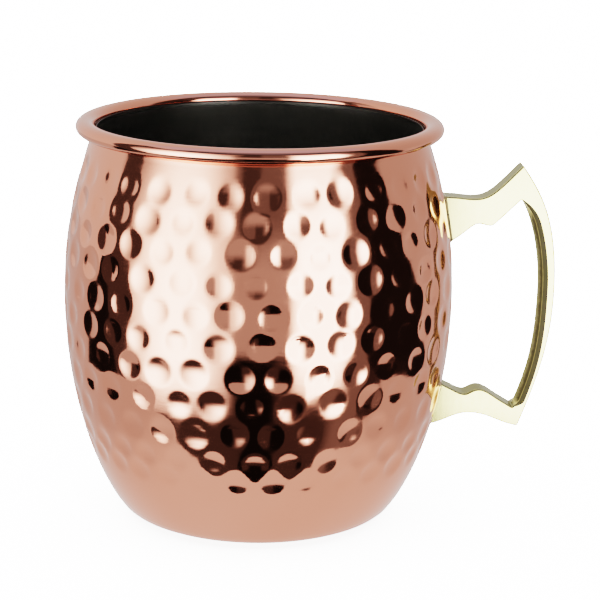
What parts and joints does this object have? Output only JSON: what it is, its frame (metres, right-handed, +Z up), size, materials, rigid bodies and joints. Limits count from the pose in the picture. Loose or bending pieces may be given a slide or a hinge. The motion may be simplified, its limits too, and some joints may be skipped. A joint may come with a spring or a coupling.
{
  "type": "copper mug",
  "caption": "Barrel-shaped hammered copper drinking mug with a rolled rim, a steel lining cup and a flat cast brass C-shaped handle.",
  "frame": {"origin": "centre of the flat base, on the surface that the mug stands on", "axes": "+Z up through the open rim, +X from the mug's axis towards the handle, +Y across the plate of the handle"},
  "size_m": [0.1156, 0.0912, 0.0938],
  "materials": {
    "copper": "mirror-polished copper, hand hammered",
    "steel": "brushed",
    "brass": "satin polished",
    "braze": "cleaned filler metal"
  },
  "bodies": {
    "root": {"copper_shell": "copper", "steel_liner": "steel", "handle": "brass", "upper_handle_braze": "braze", "lower_handle_braze": "braze"}
  },
  "joints": []
}
